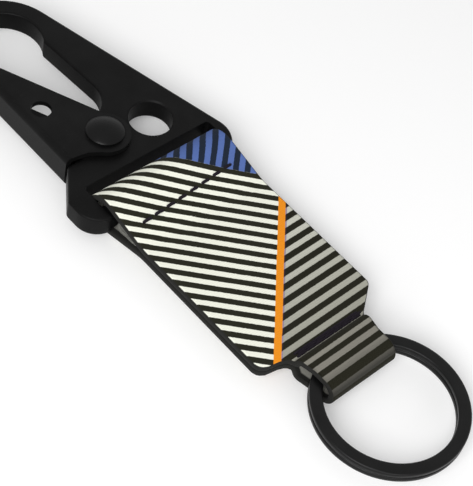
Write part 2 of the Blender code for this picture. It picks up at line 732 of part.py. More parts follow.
# The whole clip rests on the ground, centred under its box
def ground_shift():
    bpy.context.view_layer.update()
    graph = bpy.context.evaluated_depsgraph_get()
    corners = []
    for item in parts.objects:
        evaluated = item.evaluated_get(graph)
        corners += [evaluated.matrix_world @ vertex.co for vertex in evaluated.data.vertices]
    low = Vector([min(corner[axis] for corner in corners) for axis in range(3)])
    high = Vector([max(corner[axis] for corner in corners) for axis in range(3)])
    return Vector((-(low.x + high.x) / 2, -(low.y + high.y) / 2, -low.z)), high - low


shift, box_size = ground_shift()
for item in list(parts.objects) + list(cutters.objects):
    item.location += shift
for item in cutters.objects:
    item.hide_render = True
    item.display_type = "WIRE"
bpy.context.view_layer.update()


def shown(point):
    return [round(value, 6) for value in point]


print("box size, m:", shown(box_size))
print("origin shift, m:", shown(shift))
print("gate pivot, m:", shown(pivot.to_3d() + shift))
print("bar centre, m:", shown(Vector((0, BAR_Y, 0)) + shift))
print("loop bend, m:", shown(Vector((0, LOOP_BEND_Y, 0)) + shift))
print("ring centre, m:", shown(Vector((RING_X, ring_y, 0)) + shift))
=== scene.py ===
# %% [markdown]
# # A key clip: black snap hook, striped webbing strap and split ring
# The moving parts of the clip already exist as exact solids. This lesson loads them as a fixed frame and
# dresses them: the metal gets its satin black finish, and every soft or wound part, which the solids only
# stand in for, is modelled again with the form and the surface of the real one.

# %% Load the fixed frame
import math
import bpy
import numpy as np
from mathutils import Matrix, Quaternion, Vector


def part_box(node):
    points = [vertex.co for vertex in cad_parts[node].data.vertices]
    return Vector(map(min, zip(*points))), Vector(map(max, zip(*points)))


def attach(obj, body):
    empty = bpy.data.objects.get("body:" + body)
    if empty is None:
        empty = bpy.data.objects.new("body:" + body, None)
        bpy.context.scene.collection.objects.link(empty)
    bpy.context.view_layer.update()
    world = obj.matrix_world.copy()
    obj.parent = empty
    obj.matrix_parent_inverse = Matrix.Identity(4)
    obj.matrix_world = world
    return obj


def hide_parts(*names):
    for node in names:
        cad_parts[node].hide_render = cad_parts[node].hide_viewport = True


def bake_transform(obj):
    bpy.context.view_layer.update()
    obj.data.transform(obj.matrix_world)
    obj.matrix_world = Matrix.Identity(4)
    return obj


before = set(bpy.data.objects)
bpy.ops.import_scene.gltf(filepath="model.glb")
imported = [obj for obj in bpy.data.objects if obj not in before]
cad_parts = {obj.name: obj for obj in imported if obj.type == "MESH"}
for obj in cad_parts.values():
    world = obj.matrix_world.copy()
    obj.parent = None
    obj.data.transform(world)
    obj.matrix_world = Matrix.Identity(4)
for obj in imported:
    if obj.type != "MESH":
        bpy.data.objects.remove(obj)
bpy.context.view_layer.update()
bpy.ops.object.select_all(action="DESELECT")
print("solids in the frame:", sorted(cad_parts))

# %% [markdown]
# ## Measures
# The clip lies flat, its length along Y, its striped face up. The cloth and the ring are drawn from the
# same few measures as the solids under them, in metres, from one point in the middle of the strap. One
# shift then carries everything to where the frame stands, so no piece is fitted by eye.

# %% Shared measures
MM = 0.001
MIDDLE = Vector((0.001077, 0.012074, 0.0049))  # the drawing's zero: mid-width and mid-height of the strap
BAR_Y = -2.65 * MM  # middle of the slot's bar
WEBBING = 1.35 * MM  # thickness of the cloth
LAYER_HEIGHT = 0.775 * MM  # middle of the upper layer where it lies flat
FLARE = math.radians(14)  # slope at which the cloth climbs to the bar
WRAP_RADIUS = 3.305 * MM  # middle of the cloth round the bar
WRAP_BULGE = 1.3 * MM  # how much fuller it hangs on the slot's side
CREST = 2.275 * MM  # middle of the cloth round the ring's wire
FOLD_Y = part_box("ring_loop")[0].y - MIDDLE.y + CREST + WEBBING / 2
print("fold of the loop at y, mm:", round(FOLD_Y / MM, 3))

# %% [markdown]
# ## The camera
# A product photographer shot this clip from above and from its left, from about 30 cm. The place was
# worked out from the circle of the ring and the two directions of the stripes, so the camera is set by
# numbers and not by eye. A long lens keeps the ring from looking egg-shaped.

# %% Place the camera
camera_data = bpy.data.cameras.new("camera")
camera_data.lens = 113.966
camera_data.clip_start = 0.01
camera = bpy.data.objects.new("camera", camera_data)
camera.location = (-0.147657, -0.120846, 0.232368)
camera.rotation_mode = "QUATERNION"
camera.rotation_quaternion = Quaternion((0.8887726, 0.2789900, -0.1893681, -0.3104635))
bpy.context.scene.collection.objects.link(camera)
bpy.context.scene.camera = camera
print("camera to clip, m:", round(camera.location.length, 3))

# %% [markdown]
# ## The light
# Black metal shows only what it mirrors, so the light comes from large soft sources: an even pale room,
# one broad lamp on the side the photograph is lit from, and a weak low one in front. Together they light a
# level white card at about its own value, so a colour renders as it is written. What the camera sees
# directly, or mirrored in metal, is the white background.

# %% The room
ROOM_LIGHT = 0.50
ROOM_SEEN = 1.0
scene = bpy.context.scene
scene.view_settings.view_transform = "Standard"
room = bpy.data.worlds.new("room")
room.use_nodes = True
scene.world = room
room_tree = room.node_tree
sky = room_tree.nodes["Background"]
sky.inputs["Color"].default_value = (1, 1, 1, 1)
rays = room_tree.nodes.new("ShaderNodeLightPath")
lit = room_tree.nodes.new("ShaderNodeMapRange")
lit.inputs["To Min"].default_value = ROOM_LIGHT
lit.inputs["To Max"].default_value = ROOM_SEEN
seen = rays.outputs["Is Camera Ray"]
for kind in ("Is Glossy Ray", "Is Transmission Ray"):
    either = room_tree.nodes.new("ShaderNodeMath")
    either.operation = "MAXIMUM"
    room_tree.links.new(seen, either.inputs[0])
    room_tree.links.new(rays.outputs[kind], either.inputs[1])
    seen = either.outputs["Value"]
room_tree.links.new(seen, lit.inputs["Value"])
room_tree.links.new(lit.outputs["Result"], sky.inputs["Strength"])
print("room lights at", ROOM_LIGHT, "and is seen at", ROOM_SEEN)


# %% Two soft lamps
def soft_lamp(name, place, size, watts):
    """A square area lamp that looks at the middle of the clip."""
    data = bpy.data.lights.new(name, "AREA")
    data.size = size
    data.energy = watts
    lamp = bpy.data.objects.new(name, data)
    lamp.location = place
    lamp.rotation_mode = "QUATERNION"
    lamp.rotation_quaternion = Vector(place).to_track_quat("Z", "Y")
    scene.collection.objects.link(lamp)
    print(name, "watts:", watts)


soft_lamp("key_lamp", (-0.42, -0.20, 0.42), size=0.34, watts=2.75)
soft_lamp("fill_lamp", (-0.26, -0.50, 0.17), size=0.26, watts=0.85)

# %% [markdown]
# ## Shader sums
# A finish is a sum of small patterns: grain, weave, stripes, wear. Writing them as sums keeps them
# readable. A Wire is one value in the node tree, and adding, scaling or comparing two wires adds the math
# node that does it. A Finish owns the tree and its one shader.

# %% One wire of a node tree
class Wire:
    """One output of a node, with the usual arithmetic."""

    def __init__(self, finish, socket):
        self.finish = finish
        self.socket = socket

    def sum_with(self, operation, first, second=0.0):
        return self.finish.node("ShaderNodeMath", {"operation": operation}, {0: first, 1: second})

    def __add__(self, other):
        return self.sum_with("ADD", self, other)

    def __radd__(self, other):
        return self.sum_with("ADD", other, self)

    def __sub__(self, other):
        return self.sum_with("SUBTRACT", self, other)

    def __rsub__(self, other):
        return self.sum_with("SUBTRACT", other, self)

    def __mul__(self, other):
        return self.sum_with("MULTIPLY", self, other)

    def __rmul__(self, other):
        return self.sum_with("MULTIPLY", other, self)

    def __mod__(self, other):
        return self.sum_with("FLOORED_MODULO", self, other)

    def __rmod__(self, other):
        return self.sum_with("FLOORED_MODULO", other, self)

    def wave(self, period):
        """A sine of the wire, from -1 to 1 and back in each period."""
        return self.sum_with("SINE", self * (2 * math.pi / period))

    def at_least(self, other):
        return self.sum_with("MAXIMUM", self, other)

    def at_most(self, other):
        return self.sum_with("MINIMUM", self, other)

    def ramp(self, start, end):
        """0 below start, 1 above end, straight between them. The two may be the other way round."""
        feeds = {"Value": self, "From Min": start, "From Max": end, "To Min": 0.0, "To Max": 1.0}
        return self.finish.node("ShaderNodeMapRange", {"clamp": True}, feeds)


print("a wire can:", [name for name in vars(Wire) if not name.startswith("_")])


# %% One finish, and its colours
class Finish:
    """A material with one shader, whose varying sockets are fed by wires."""

    def __init__(self, name, constants):
        self.material = bpy.data.materials.new(name)
        self.material.use_nodes = True
        self.tree = self.material.node_tree
        self.shader = self.tree.nodes["Principled BSDF"]
        for socket, value in constants.items():
            self.shader.inputs[socket].default_value = value

    def node(self, kind, settings, feeds, output=0):
        made = self.tree.nodes.new(kind)
        for setting, value in settings.items():
            setattr(made, setting, value)
        for socket, value in feeds.items():
            self.feed(made.inputs[socket], value)
        return Wire(self, made.outputs[output])

    def feed(self, socket, value):
        if isinstance(value, Wire):
            self.tree.links.new(value.socket, socket)
        else:
            socket.default_value = value

    def shade(self, socket, value):
        self.feed(self.shader.inputs[socket], value)

    def mixed(self, share, low, high):
        """Colour low where share is 0, colour high where it is 1."""
        return self.node("ShaderNodeMix", {"data_type": "RGBA"}, {0: share, 6: low, 7: high}, 2)

    def place_mm(self):
        """The point on the piece, in millimetres."""
        place = self.node("ShaderNodeTexCoord", {}, {}, "Object")
        return self.node("ShaderNodeVectorMath", {"operation": "SCALE"}, {0: place, "Scale": 1000.0})

    def part_of(self, vector, axis):
        """X, Y or Z of a vector, as axis 0, 1 or 2."""
        return self.node("ShaderNodeSeparateXYZ", {}, {0: vector}, axis)

    def noise(self, place, scale, detail):
        feeds = {"Vector": place, "Scale": scale, "Detail": detail}
        return self.node("ShaderNodeTexNoise", {}, feeds, "Fac")

    def bump(self, height, metres):
        feeds = {"Height": height, "Distance": metres, "Strength": 1.0}
        self.shade("Normal", self.node("ShaderNodeBump", {}, feeds, "Normal"))


def grey(value):
    """An even grey, in linear light."""
    return (value, value, value, 1.0)


def srgb(red, green, blue):
    """A colour as read off a screen, 0 to 255, made linear for the shader by the sRGB rule."""
    shares = [channel / 255 for channel in (red, green, blue)]
    return tuple(s / 12.92 if s <= 0.04045 else ((s + 0.055) / 1.055) ** 2.4 for s in shares) + (1.0,)


print("cream as linear:", [round(value, 3) for value in srgb(242, 243, 229)])

# %% [markdown]
# ## The table
# The clip lies on a white sweep. A plain pale plane under it catches the soft shadow, and a little glow,
# which only the camera, mirrors and glass see, lifts it to the white of the background without lighting
# the clip.

# %% White table
TABLE_SIDE = 3.0
TABLE_TONE = grey(0.86)
TABLE_GLOW = grey(0.17)
bpy.ops.mesh.primitive_plane_add(size=TABLE_SIDE, location=(0, 0, 0))
table = bpy.context.object
table.name = "table"
table_finish = Finish("table_white", {"Base Color": TABLE_TONE, "Roughness": 0.9, "Specular IOR Level": 0.1})
table_finish.shader.inputs["Emission Strength"].default_value = 1.0
straight = table_finish.node("ShaderNodeLightPath", {}, {}, "Is Camera Ray")
glossy = table_finish.node("ShaderNodeLightPath", {}, {}, "Is Glossy Ray")
through = table_finish.node("ShaderNodeLightPath", {}, {}, "Is Transmission Ray")
looked_at = straight.at_least(glossy).at_least(through)
table_finish.shade("Emission Color", table_finish.mixed(looked_at, grey(0.0), TABLE_GLOW))
table.data.materials.append(table_finish.material)
bpy.ops.object.select_all(action="DESELECT")
print("table:", table.dimensions[:])

# %% [markdown]
# ## Satin black on die-cast metal
# The hook is cast and then coated. The coating is nearly black, a little rough, and faintly pebbled by
# the grain of the casting, and small specks of it are rubbed a little brighter. Almost no light comes from
# its colour, so the look is made by roughness and a very low bump, each from noise at the grain's own size.

# %% Black coated finishes
CLOUDS_PER_MM = 0.16
SPECKS_PER_MM = 2.6
SATIN_SHINE = 0.075


def black_coating(name, tone, roughness, grain_mm, grain_height, shine=SATIN_SHINE):
    """Satin black coating: tone is the base grey, grain_mm the size of its pebbling."""
    coat = Finish(name, {"Specular IOR Level": shine})
    place = coat.place_mm()
    grain = coat.noise(place, 1 / grain_mm, 3.0)
    cloud = coat.noise(place, CLOUDS_PER_MM, 2.0)
    specks = coat.noise(place, SPECKS_PER_MM, 1.0).ramp(0.70, 0.76)
    dull, bright, rubbed = grey(tone * 0.75), grey(tone * 1.35), grey(tone * 3.2)
    colour = coat.mixed(cloud.ramp(0.35, 0.65), dull, bright)
    coat.shade("Base Color", coat.mixed(specks * 0.5, colour, rubbed))
    coat.shade("Roughness", roughness + (cloud - 0.5) * 0.16 + (grain - 0.5) * 0.12)
    coat.bump(grain, grain_height)
    print(name, "tone:", tone, "roughness:", roughness)
    return coat.material


hook_finish = black_coating("hook_coating", 0.0036, 0.42, grain_mm=0.22, grain_height=0.020 * MM)
gate_finish = black_coating("gate_coating", 0.0048, 0.40, grain_mm=0.16, grain_height=0.012 * MM)
rivet_finish = black_coating("rivet_coating", 0.0030, 0.30, grain_mm=0.30, grain_height=0.008 * MM, shine=0.12)
ring_finish = black_coating("ring_coating", 0.0040, 0.33, grain_mm=0.12, grain_height=0.008 * MM, shine=0.15)

# %% Bare spring steel
spring_finish = Finish("spring_wire", {"Metallic": 1.0})
drawn = spring_finish.noise(spring_finish.place_mm(), 3.0, 2.0)
spring_finish.shade("Base Color", spring_finish.mixed(drawn, grey(0.22), (0.40, 0.40, 0.39, 1.0)))
spring_finish.shade("Roughness", 0.28 + drawn * 0.15)
spring_finish.bump(drawn, 0.006 * MM)
print("spring finish:", spring_finish.material.name)

# %% [markdown]
# ## Hook, gate, rivet and spring
# Their solids already have the right shape, but each curve is a row of flats. A copy of each solid is
# merged, its flats are shaded smooth where they meet gently, and weighted normals keep the true flats
# flat. The spring's one leg stays with the hook and its other leg moves with the gate, so its copy is
# left on no body and its place is baked into its mesh.

# %% Smooth copies of the metal parts
MERGE = 0.002 * MM
FLAT_ENOUGH = math.radians(0.3)


def smooth_copy(node_name, piece_name, body, finish, angle_deg):
    """A merged, smoothly shaded copy of a solid, which then stands for it. With no body it stays free."""
    piece = bpy.data.objects.new(piece_name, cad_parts[node_name].data.copy())
    scene.collection.objects.link(piece)
    piece.data.materials.clear()
    piece.data.materials.append(finish)
    bpy.context.view_layer.objects.active = piece
    piece.select_set(True)
    bpy.ops.object.mode_set(mode="EDIT")
    bpy.ops.mesh.select_all(action="SELECT")
    bpy.ops.mesh.remove_doubles(threshold=MERGE)
    bpy.ops.mesh.dissolve_limited(angle_limit=FLAT_ENOUGH)
    bpy.ops.object.mode_set(mode="OBJECT")
    bpy.ops.object.shade_smooth_by_angle(angle=math.radians(angle_deg))
    weigh = piece.modifiers.new("weigh_normals", "WEIGHTED_NORMAL")
    weigh.keep_sharp = True
    bpy.ops.object.modifier_apply(modifier="weigh_normals")
    piece.select_set(False)
    if body:
        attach(piece, body)
    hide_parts(node_name)
    print(piece_name, "faces:", len(piece.data.polygons))
    return piece


smooth_copy("hook_body", "hook_plate", "hook", hook_finish, 40)
smooth_copy("gate", "gate_channel", "gate", gate_finish, 40)
smooth_copy("gate_rivet", "rivet", "hook", rivet_finish, 35)
spring = smooth_copy("gate_spring", "spring_wire", None, spring_finish.material, 60)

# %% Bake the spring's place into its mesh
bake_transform(spring)

# %% [markdown]
# ## The path of the webbing
# One length of webbing makes the whole strap. It starts under the ring, turns up round the ring's wire,
# lies flat on its other half, rises beside the hook, turns round the bar and comes back underneath in the
# same way. The path is drawn once, from the fold at the ring to the far side of the bar, and mirrored. On
# the slot's side the cloth hangs a little fuller than the bar would make it.

# %% Arcs for a path
def arc_points(centre, radius, first_deg, last_deg, count):
    turns = [math.radians(first_deg + (last_deg - first_deg) * step / count) for step in range(count + 1)]
    return [Vector((centre[0] + radius * math.cos(turn), centre[1] + radius * math.sin(turn))) for turn in turns]


def rounded_corner(before, corner, after, radius, count):
    """Points of an arc that rounds the corner."""
    back = (Vector(before) - Vector(corner)).normalized()
    ahead = (Vector(after) - Vector(corner)).normalized()
    half = back.angle(ahead) / 2
    middle = Vector(corner) + (back + ahead).normalized() * radius / math.sin(half)
    first = Vector(corner) + back * radius / math.tan(half) - middle
    last = Vector(corner) + ahead * radius / math.tan(half) - middle
    first_deg = math.degrees(math.atan2(first.y, first.x))
    sweep = (math.degrees(math.atan2(last.y, last.x)) - first_deg + 180) % 360 - 180
    return arc_points(middle, radius, first_deg, first_deg + sweep, count)


print("a quarter circle in two steps:", [tuple(point) for point in arc_points((0, 0), 1, 0, 90, 2)])

# %% Half the path, as arcs and straights
NECK_SLOPE = math.radians(60)
NECK_FOOT_Y = -48.95 * MM
FLAT_SPOT_Y = -47.0 * MM
LOOP_ROUNDING = 1.2 * MM
NECK_ROUNDING = 0.9 * MM
CLIMB_ROUNDING = 12 * MM
WRAP_STEPS = 20
flare_way = Vector((math.cos(FLARE), math.sin(FLARE)))
leave_bar = Vector((BAR_Y - WRAP_RADIUS * flare_way.y, WRAP_RADIUS * flare_way.x))
flare_foot = Vector((leave_bar.x - (leave_bar.y - LAYER_HEIGHT) / math.tan(FLARE), LAYER_HEIGHT))
neck_foot = Vector((NECK_FOOT_Y, LAYER_HEIGHT))
neck_top = Vector((neck_foot.x - (CREST - LAYER_HEIGHT) / math.tan(NECK_SLOPE), CREST))
flat_spot = Vector((FLAT_SPOT_Y, LAYER_HEIGHT))
corners = arc_points((FOLD_Y, 0), CREST, 180, 90, 12)
corners += rounded_corner((FOLD_Y, CREST), neck_top, neck_foot, LOOP_ROUNDING, 5)
corners += rounded_corner(neck_top, neck_foot, flat_spot, NECK_ROUNDING, 5)
corners += rounded_corner(flat_spot, flare_foot, leave_bar, CLIMB_ROUNDING, 7)
wrap = arc_points((BAR_Y, 0), WRAP_RADIUS, 90 + math.degrees(FLARE), 0, WRAP_STEPS)
for step, point in enumerate(wrap):
    reach = (1 - math.cos(math.pi * step / WRAP_STEPS)) / 2
    out = point - Vector((BAR_Y, 0))
    corners.append(point + out.normalized() * WRAP_BULGE * reach)
print("corners of the path:", len(corners))

# %% Rows along the path
FLAT_SPACING = 0.45 * MM
WRAP_SPACING = 0.4 * MM
COUNT_FROM_Y = -40 * MM


def stations_along(points):
    """The points, with more of them along each straight."""
    dense = [points[0]]
    for point in points[1:]:
        start = dense[-1]
        spacing = FLAT_SPACING if point.x <= 0 else WRAP_SPACING
        count = max(1, round((point - start).length / spacing))
        dense += [start.lerp(point, step / count) for step in range(1, count + 1)]
    return dense


half_path = stations_along(corners[:-1])
half_path.append(corners[-1])
lengths = np.cumsum([0.0] + [(b - a).length for a, b in zip(half_path, half_path[1:])])
flat_index = next(i for i, point in enumerate(half_path) if point.x > COUNT_FROM_Y)
along = lengths - lengths[flat_index] + half_path[flat_index].x
print("rows:", len(half_path), "cloth from", round(along[0] / MM, 2), "to", round(along[-1] / MM, 2), "mm")

# %% [markdown]
# ## The cut of the webbing
# Seen from above the strap keeps one width to its shoulders and then narrows to a tongue. Its left
# shoulder is rounded, its right one is cut on a slant. Each side is a short list of corners, and the
# width at any place is read off it, so the cloth can be laid row by row.

# %% Left and right edge at any y
HALF_WIDTH = 15.55
LEFT_SIDE = [  # y, x in mm
    (-70, -8.35), (-53, -8.35), (-49.45, -9.1), (-48.6, -9.18), (-47.9, -9.55), (-47.4, -10.3),
    (-47.05, -11.5), (-46.9, -13.2), (-46.45, -14.5), (-45.6, -15.3), (-44.7, -HALF_WIDTH), (20, -HALF_WIDTH),
]
RIGHT_SIDE = [  # y, x in mm
    (-70, 8.35), (-53, 8.35), (-49.9, 8.95), (-48.9, 9.15), (-48.0, 9.85), (-47.0, 11.25),
    (-44.2, 15.0), (-43.7, 15.4), (-43.2, HALF_WIDTH), (20, HALF_WIDTH),
]


def edges_at(y):
    """x of the left and right edge, in metres, at a y in metres."""
    left = np.interp(y / MM, [row[0] for row in LEFT_SIDE], [row[1] for row in LEFT_SIDE])
    right = np.interp(y / MM, [row[0] for row in RIGHT_SIDE], [row[1] for row in RIGHT_SIDE])
    return left * MM, right * MM


widths = [round((edges_at(y * MM)[1] - edges_at(y * MM)[0]) / MM, 2) for y in (-55, -48, -45, -20)]
print("widths, mm:", widths)

# %% [markdown]
# ## Laying the webbing
# The webbing is a tube with a flat, round-edged section, so it is made from a plain grid: its columns run
# round the section and its rows run along the path. Every row is carried to its own place, the two long
# edges of the grid are merged, and the ends are closed where the piece needs it. That gives clean rows of
# faces that bend well, which a cut with a Boolean would not. The same rolling makes the ring and thread.

# %% The section of a flat strip
def flat_section(thickness, rounding, columns, steps=4):
    """Corners of a flat strip's section: (-1 to 1 across, offset from that edge, height)."""
    half = thickness / 2
    turns = [math.pi / 2 * step / steps for step in range(steps + 1)]
    rounded = [(rounding * (1 - math.sin(turn)), half - rounding * (1 - math.cos(turn))) for turn in turns]
    top = [(1 - 2 * step / columns, 0.0, half) for step in range(1, columns)]
    right = [(1, -inward, height) for inward, height in rounded]
    left = [(-1, inward, height) for inward, height in rounded]
    upper = list(reversed(right)) + top + left
    ordered = sorted(upper, key=lambda corner: -(corner[0] * 100 + corner[1]))
    return ordered + [(share, offset, -height) for share, offset, height in reversed(ordered)]


EDGE_ROUNDING = 0.45 * MM
WEBBING_COLUMNS = 44
webbing_section = flat_section(WEBBING, EDGE_ROUNDING, WEBBING_COLUMNS)
print("corners of the webbing's section:", len(webbing_section))


# %% Roll a grid round a section and along a path
SAME_PLACE = 0.0005 * MM


def rolled(name, rows, place_of, corners, capped):
    """A tube of rows, each with the same number of corners. place_of(row, corner) is in metres."""
    bpy.ops.mesh.primitive_grid_add(x_subdivisions=corners, y_subdivisions=rows - 1, size=1, location=(0, 0, 0))
    piece = bpy.context.object
    piece.name = name
    order = [(row, corner % corners) for row in range(rows) for corner in range(corners + 1)]
    places = np.array([place_of(row, corner) for row, corner in order], dtype=np.float32)
    piece.data.vertices.foreach_set("co", places.ravel())
    while piece.data.uv_layers:
        piece.data.uv_layers.remove(piece.data.uv_layers[0])
    bpy.ops.object.mode_set(mode="EDIT")
    bpy.ops.mesh.select_all(action="SELECT")
    bpy.ops.mesh.remove_doubles(threshold=SAME_PLACE)
    if capped:
        bpy.ops.mesh.fill_holes(sides=0)
    bpy.ops.mesh.select_all(action="SELECT")
    bpy.ops.mesh.normals_make_consistent(inside=False)
    bpy.ops.object.mode_set(mode="OBJECT")
    print(name, "rows:", rows, "corners:", corners, "vertices:", len(piece.data.vertices))
    return piece


def path_turns(places):
    """Direction of the path at each place, in radians from +Y towards +Z."""
    angles = []
    for index in range(len(places)):
        ahead = places[min(index + 1, len(places) - 1)] - places[max(index - 1, 0)]
        angles.append(math.atan2(ahead.y, ahead.x))
    return angles


def strip_place(section, places, turns, edges):
    """place_of for a strip that follows places (y, z) between its left and right edges."""

    def place_of(row, corner):
        share, offset, height = section[corner]
        left, right = edges[row]
        x = (left + right) / 2 + share * (right - left) / 2 + offset
        y = places[row].x - height * math.sin(turns[row])
        z = places[row].y + height * math.cos(turns[row])
        return MIDDLE.x + x, MIDDLE.y + y, MIDDLE.z + z

    return place_of


row_edges = [edges_at(point.x) for point in half_path]
row_turns = path_turns(half_path)
row_turns[0] = math.pi / 2
row_turns[-1] = -math.pi / 2
webbing_place = strip_place(webbing_section, half_path, row_turns, row_edges)
webbing = rolled("webbing", len(half_path), webbing_place, len(webbing_section), False)

# %% [markdown]
# ## The other half of the strap
# The lower layer follows the same path under the bar and the ring. A Mirror modifier copies the upper half
# across the strap's middle height and joins the two at the fold and in the slot. It mirrors about the
# object's origin, so the cloth is moved there and back.

# %% Mirror the half
MERGE_HALVES = 0.01 * MM
bpy.ops.object.mode_set(mode="EDIT")
bpy.ops.mesh.select_all(action="SELECT")
bpy.ops.transform.translate(value=-MIDDLE)
bpy.ops.object.mode_set(mode="OBJECT")
mirror = webbing.modifiers.new("other_half", "MIRROR")
mirror.use_axis = (False, False, True)
mirror.use_mirror_merge = True
mirror.merge_threshold = MERGE_HALVES
bpy.ops.object.modifier_apply(modifier="other_half")
bpy.ops.object.mode_set(mode="EDIT")
bpy.ops.mesh.select_all(action="SELECT")
bpy.ops.transform.translate(value=MIDDLE)
bpy.ops.mesh.remove_doubles(threshold=MERGE)
bpy.ops.mesh.normals_make_consistent(inside=False)
bpy.ops.object.mode_set(mode="OBJECT")
print("webbing box, mm:", [round(side / MM, 2) for side in webbing.dimensions])

# %% [markdown]
# ## Where each point of the cloth is on the print
# A print is laid on flat cloth and then bent with it. So each point of the webbing is given its place on
# the flat strip, across and along, as a UV map, and how deep it lies in the cloth, so that the finish can
# tell the printed face, the plain back and the dark edge apart.

# %% Print place and depth of every point
FINE_STEPS = 6
BATCH = 2000


def nearest_on_path(y, z):
    """Row numbers of the closest path point for each vertex, in fine steps between the rows."""
    fine = np.linspace(0, len(half_path) - 1, FINE_STEPS * len(half_path))
    fine_y = np.interp(fine, range(len(half_path)), [point.x for point in half_path])
    fine_z = np.interp(fine, range(len(half_path)), [point.y for point in half_path])
    best = np.empty(len(y))
    for start in range(0, len(y), BATCH):
        part = slice(start, start + BATCH)
        apart = (y[part, None] - fine_y) ** 2 + (z[part, None] - fine_z) ** 2
        best[part] = fine[np.argmin(apart, axis=1)]
    return best


points = np.empty(len(webbing.data.vertices) * 3)
webbing.data.vertices.foreach_get("co", points)
points = points.reshape(-1, 3) - np.array(MIDDLE)
level = np.abs(points[:, 2])
row = nearest_on_path(points[:, 1], level)
row_numbers = np.arange(len(half_path))
cloth_along = np.interp(row, row_numbers, along)
path_y = np.interp(row, row_numbers, [point.x for point in half_path])
path_z = np.interp(row, row_numbers, [point.y for point in half_path])
way = np.interp(row, row_numbers, row_turns)
depth = (-(points[:, 1] - path_y) * np.sin(way) + (level - path_z) * np.cos(way)) / (WEBBING / 2)
left_edge = np.interp(row, row_numbers, [pair[0] for pair in row_edges])
right_edge = np.interp(row, row_numbers, [pair[1] for pair in row_edges])
rim = np.minimum(points[:, 0] - left_edge, right_edge - points[:, 0])
print("depth from", round(float(depth.min()), 2), "to", round(float(depth.max()), 2))

# %% Write them on the mesh
for mark, values in (("depth", depth), ("rim_mm", rim / MM)):
    webbing.data.attributes.new(mark, "FLOAT", "POINT")
    webbing.data.attributes[mark].data.foreach_set("value", values.astype(np.float32))
print_map = webbing.data.uv_layers.new(name="print")
corner_points = np.empty(len(webbing.data.loops), np.int32)
webbing.data.loops.foreach_get("vertex_index", corner_points)
flat_place = np.column_stack([points[:, 0] / MM, cloth_along / MM])
print_map.data.foreach_set("uv", flat_place[corner_points].astype(np.float32).ravel())
print("print map corners:", len(corner_points))

# %% [markdown]
# ## The striped print
# The face is printed with plain stripes in four fields. Cream and black stripes lean one way, a blue and
# dark corner beside the hook leans the other way, an orange band crosses the strap, and beyond it grey
# and black stripes run straight across and darken towards the ring; the last and darkest grey, at the fold
# round the ring, is painted shade. A thin line of shade edges the band.
# All fields are straight lines on the flat strip, so each is one sum of the two print coordinates, in
# millimetres. Beside the hook the cloth climbs more than on the real clip, so the print is shifted a
# little there, and its lines still meet the hook where they should.

# %% Place on the print
cloth = Finish("printed_webbing", {"Specular IOR Level": 0.08, "Sheen Weight": 0.02, "Sheen Roughness": 0.6})
flat = cloth.node("ShaderNodeUVMap", {"uv_map": "print"}, {})
across = cloth.part_of(flat, 0)
length = cloth.part_of(flat, 1)
depth_wire = cloth.node("ShaderNodeAttribute", {"attribute_name": "depth"}, {}, "Fac")
rim_wire = cloth.node("ShaderNodeAttribute", {"attribute_name": "rim_mm"}, {}, "Fac")

CLIMB_FOOT, CLIMB_MIDDLE, CLIMB_TOP = -12.2, -7.5, -1.5
SHIFT_ACROSS = 0.661
SHIFT_ALONG = 0.4575
UPPER_SHARE = 0.6
lift = length.ramp(CLIMB_FOOT, CLIMB_MIDDLE) + length.ramp(CLIMB_MIDDLE, CLIMB_TOP) * UPPER_SHARE
across_low = across + lift * SHIFT_ACROSS
length_low = length + lift * SHIFT_ALONG
most = [round(shift * (1 + UPPER_SHARE), 2) for shift in (SHIFT_ACROSS, SHIFT_ALONG)]
print("print is shifted beside the hook by up to, mm:", most)

# %% Stripes and the lines between the fields
RAGGED = 0.16
SOFT = 0.09
LEAN_WAY = (0.7181, 0.6959)
BLUE_WAY = (0.687, -0.726)
BAND_WAY = (0.7174, -0.6966)
BLUE_STARTS = (2.90, 3.00)
BAND_STARTS = (23.60, 23.68)
BAND_ENDS = (25.03, 25.11)
SHADE_ENDS = (25.33, 25.41)
SLACK_STARTS, SLACK_MOST, SLACK_ENDS = -48.4, -50.55, -52.3
uneven = (cloth.noise(flat, 1.9, 2.0) - 0.5) * RAGGED


def stripe(measure, period, start, dark_share):
    """1 on the dark stripe, 0 between. start is where a dark stripe begins."""
    saw = (measure + uneven - start) % period
    return saw.ramp(0, SOFT) * saw.ramp(dark_share * period + SOFT, dark_share * period)


def measured(x, y, way):
    """How far the point (x, y) of the print lies along a way."""
    return x * way[0] + y * way[1]


leaning = measured(across_low, length_low, LEAN_WAY)
lean_dark = stripe(leaning, period=2.424, start=1.64, dark_share=0.53)
blue_dark = stripe(measured(across_low, length_low, BLUE_WAY), period=2.36, start=2.09, dark_share=0.50)
neck_slack = length.ramp(SLACK_STARTS, SLACK_MOST).at_most(length.ramp(SLACK_ENDS, SLACK_MOST)) * 0.72
cross_dark = stripe(length + neck_slack - across * 0.0087, period=2.42, start=0.30, dark_share=0.53)
band_way = measured(across, length, BAND_WAY)
print("band width, mm:", round(BAND_ENDS[0] - BAND_STARTS[0], 2))

# %% Inks of the four fields, with painted shade at the fold
CREAM_FADES = (-8, -40)
# The darkest grey, at the fold round the ring, is painted shade where the cloth curves down.
GREY_FADES, NECK_FADES, FOLD_SHADE_FADES = (-24, -46), (-46.5, -52.5), (-55.0, -58.5)
CREAM_AT_HOOK, CREAM_AT_NECK = srgb(242, 243, 229), srgb(240, 241, 227)
GREY_AT_BAND, GREY_AT_SHOULDER = srgb(200, 200, 188), srgb(160, 159, 147)
GREY_AT_NECK, GREY_WITH_FOLD_SHADE = srgb(130, 127, 118), srgb(56, 55, 51)
LEAN_BLACK, CROSS_BLACK = srgb(33, 33, 23), srgb(29, 28, 18)
BLUE, NAVY = srgb(85, 109, 170), srgb(26, 36, 52)
ORANGE = srgb(239, 146, 29)
SHADE_PALE, SHADE_DARK = srgb(146, 136, 156), srgb(38, 31, 44)

